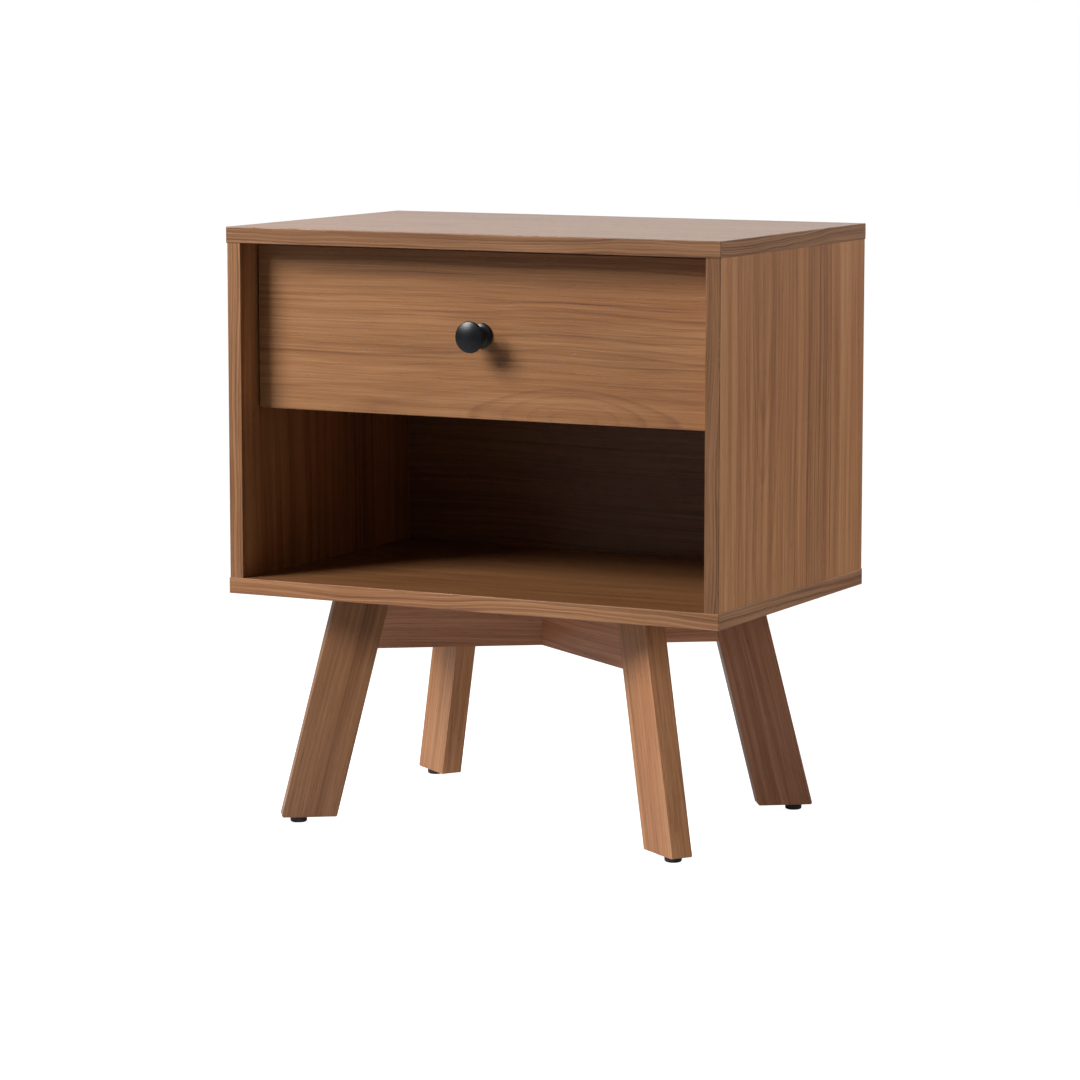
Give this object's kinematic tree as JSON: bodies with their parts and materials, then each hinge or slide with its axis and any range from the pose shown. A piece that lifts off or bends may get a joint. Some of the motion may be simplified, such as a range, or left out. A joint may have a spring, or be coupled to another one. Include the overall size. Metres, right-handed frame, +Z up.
{
  "type": "nightstand with drawer",
  "caption": "Nightstand: a wood-veneered box with a sliding drawer over an open shelf, standing on two crossing frames with splayed flat legs and small round feet.",
  "frame": {"origin": "on the floor, under the middle of the cabinet's width and depth", "axes": "+Z up, -Y towards the front (the drawer opens along -Y), +X to the right seen from the front"},
  "size_m": [0.54, 0.348, 0.6],
  "materials": {
    "walnut_veneer": "satin lacquer",
    "walnut_edge_strip": "satin lacquer",
    "walnut_back_board": "satin lacquer",
    "walnut_solid": "satin lacquer",
    "drawer_box_board": "clear matt lacquer",
    "beech_dowel": "raw",
    "black_metal": "satin",
    "screw_steel": "zinc plated",
    "cast_zinc": "as cast",
    "insert_brass": "plain",
    "black_plastic": "fine texture",
    "slide_steel": "zinc plated",
    "cage_steel": "plain",
    "ball_steel": "polished"
  },
  "bodies": {
    "cabinet": {"top_panel": "walnut_veneer", "bottom_panel": "walnut_veneer", "left_side_panel": "walnut_veneer", "right_side_panel": "walnut_veneer", "top_panel_edge_strips": "walnut_edge_strip", "bottom_panel_edge_strips": "walnut_edge_strip", "left_side_edge_strip": "walnut_edge_strip", "right_side_edge_strip": "walnut_edge_strip", "back_panel": "walnut_back_board", "cross_rail_lower_lap": "walnut_solid", "cross_rail_upper_lap": "walnut_solid", "leg_front_left": "walnut_solid", "leg_front_right": "walnut_solid", "leg_back_left": "walnut_solid", "leg_back_right": "walnut_solid", "cabinet_dowels": "beech_dowel", "leg_dowels": "beech_dowel", "back_panel_screws": "screw_steel", "bottom_panel_screws": "screw_steel", "base_screws": "screw_steel", "foot_glide_nails": "screw_steel", "slide_cabinet_screws": "screw_steel", "cam_bolts": "screw_steel", "cam_locks": "cast_zinc", "base_screw_inserts": "insert_brass", "foot_glides": "black_plastic", "left_slide_cabinet_rail": "slide_steel", "right_slide_cabinet_rail": "slide_steel"},
    "drawer": {"drawer_front": "walnut_veneer", "drawer_front_edge_strips": "walnut_edge_strip", "drawer_box_front": "drawer_box_board", "drawer_box_back": "drawer_box_board", "drawer_box_left_side": "drawer_box_board", "drawer_box_right_side": "drawer_box_board", "drawer_bottom": "drawer_box_board", "drawer_knob": "black_metal", "drawer_box_screws": "screw_steel", "drawer_front_screws": "screw_steel", "drawer_knob_screw": "screw_steel", "slide_drawer_screws": "screw_steel", "left_slide_drawer_rail": "slide_steel", "right_slide_drawer_rail": "slide_steel"},
    "left_slide_middle": {"left_slide_middle_rail": "slide_steel"},
    "left_slide_outer_cage": {"left_slide_outer_cage": "cage_steel", "left_slide_outer_balls": "ball_steel"},
    "left_slide_inner_cage": {"left_slide_inner_cage": "cage_steel", "left_slide_inner_balls": "ball_steel"},
    "right_slide_middle": {"right_slide_middle_rail": "slide_steel"},
    "right_slide_outer_cage": {"right_slide_outer_cage": "cage_steel", "right_slide_outer_balls": "ball_steel"},
    "right_slide_inner_cage": {"right_slide_inner_cage": "cage_steel", "right_slide_inner_balls": "ball_steel"}
  },
  "joints": [
    {"name": "drawer_travel", "type": "slide", "parent": "cabinet", "child": "drawer", "axis": [0, -1, 0], "range_m": [0, 0.25]},
    {"name": "left_slide_middle_travel", "type": "slide", "parent": "cabinet", "child": "left_slide_middle", "axis": [0, -1, 0], "range_m": [0, 0.125]},
    {"name": "left_slide_outer_cage_travel", "type": "slide", "parent": "cabinet", "child": "left_slide_outer_cage", "axis": [0, -1, 0], "range_m": [0, 0.0625]},
    {"name": "left_slide_inner_cage_travel", "type": "slide", "parent": "cabinet", "child": "left_slide_inner_cage", "axis": [0, -1, 0], "range_m": [0, 0.1875]},
    {"name": "right_slide_middle_travel", "type": "slide", "parent": "cabinet", "child": "right_slide_middle", "axis": [0, -1, 0], "range_m": [0, 0.125]},
    {"name": "right_slide_outer_cage_travel", "type": "slide", "parent": "cabinet", "child": "right_slide_outer_cage", "axis": [0, -1, 0], "range_m": [0, 0.0625]},
    {"name": "right_slide_inner_cage_travel", "type": "slide", "parent": "cabinet", "child": "right_slide_inner_cage", "axis": [0, -1, 0], "range_m": [0, 0.1875]}
  ],
  "couplings": [
    {"joint": "left_slide_middle_travel", "follows": "drawer_travel", "ratio": 0.5},
    {"joint": "left_slide_outer_cage_travel", "follows": "drawer_travel", "ratio": 0.25},
    {"joint": "left_slide_inner_cage_travel", "follows": "drawer_travel", "ratio": 0.75},
    {"joint": "right_slide_middle_travel", "follows": "drawer_travel", "ratio": 0.5},
    {"joint": "right_slide_outer_cage_travel", "follows": "drawer_travel", "ratio": 0.25},
    {"joint": "right_slide_inner_cage_travel", "follows": "drawer_travel", "ratio": 0.75}
  ]
}
